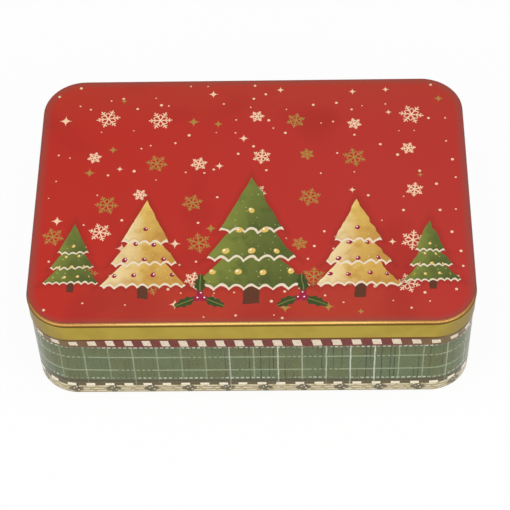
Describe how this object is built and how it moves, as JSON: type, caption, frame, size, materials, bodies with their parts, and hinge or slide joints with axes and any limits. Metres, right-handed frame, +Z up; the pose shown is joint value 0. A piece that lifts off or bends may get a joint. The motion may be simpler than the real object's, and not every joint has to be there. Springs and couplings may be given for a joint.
{
  "type": "hinged card game tin",
  "caption": "Rectangular tinplate tin with rounded corners, a rear-hinged lid with a rolled bead, and a formed insert for banded card packs.",
  "frame": {"origin": "on the surface that the tin stands on, under the middle of the lid; the hinges stand out at the back, so the middle of the whole box lies 1 mm further back", "axes": "+Z up, +Y towards the hinged back, +X to the right seen from the front"},
  "size_m": [0.195, 0.1421, 0.054],
  "materials": {
    "lid_print": "gloss lacquered print on tinplate, gold on the bead and skirt",
    "body_print": "satin lacquered print on tinplate, plaid with check and ornament bands",
    "base_lacquer": "gold lacquered tinplate, rolled finish",
    "hinge_steel": "brass washed pressed steel, satin",
    "pin_steel": "drawn steel wire, satin",
    "tray_plastic": "formed ivory plastic sheet, matt",
    "card_stock": "coated card, cut edges",
    "band_paper": "printed paper band, satin",
    "leaflet_paper": "folded uncoated paper"
  },
  "bodies": {
    "tin_body": {"body_wall": "body_print", "base_plate": "base_lacquer", "hinge_leaf_left": "hinge_steel", "hinge_leaf_right": "hinge_steel", "hinge_pin_left": "pin_steel", "hinge_pin_right": "pin_steel", "hinge_rivets_left": "hinge_steel", "hinge_rivets_right": "hinge_steel", "insert_tray": "tray_plastic", "card_pack_left": "card_stock", "card_pack_right": "card_stock", "pack_band_left": "band_paper", "pack_band_right": "band_paper", "rules_leaflet": "leaflet_paper"},
    "lid": {"lid_shell": "lid_print"}
  },
  "joints": [
    {"name": "lid_hinge", "type": "hinge", "parent": "tin_body", "child": "lid", "pos_m": [0, 0.07051, 0.0417], "axis": [-1, 0, 0], "range_deg": [0, 112]}
  ]
}
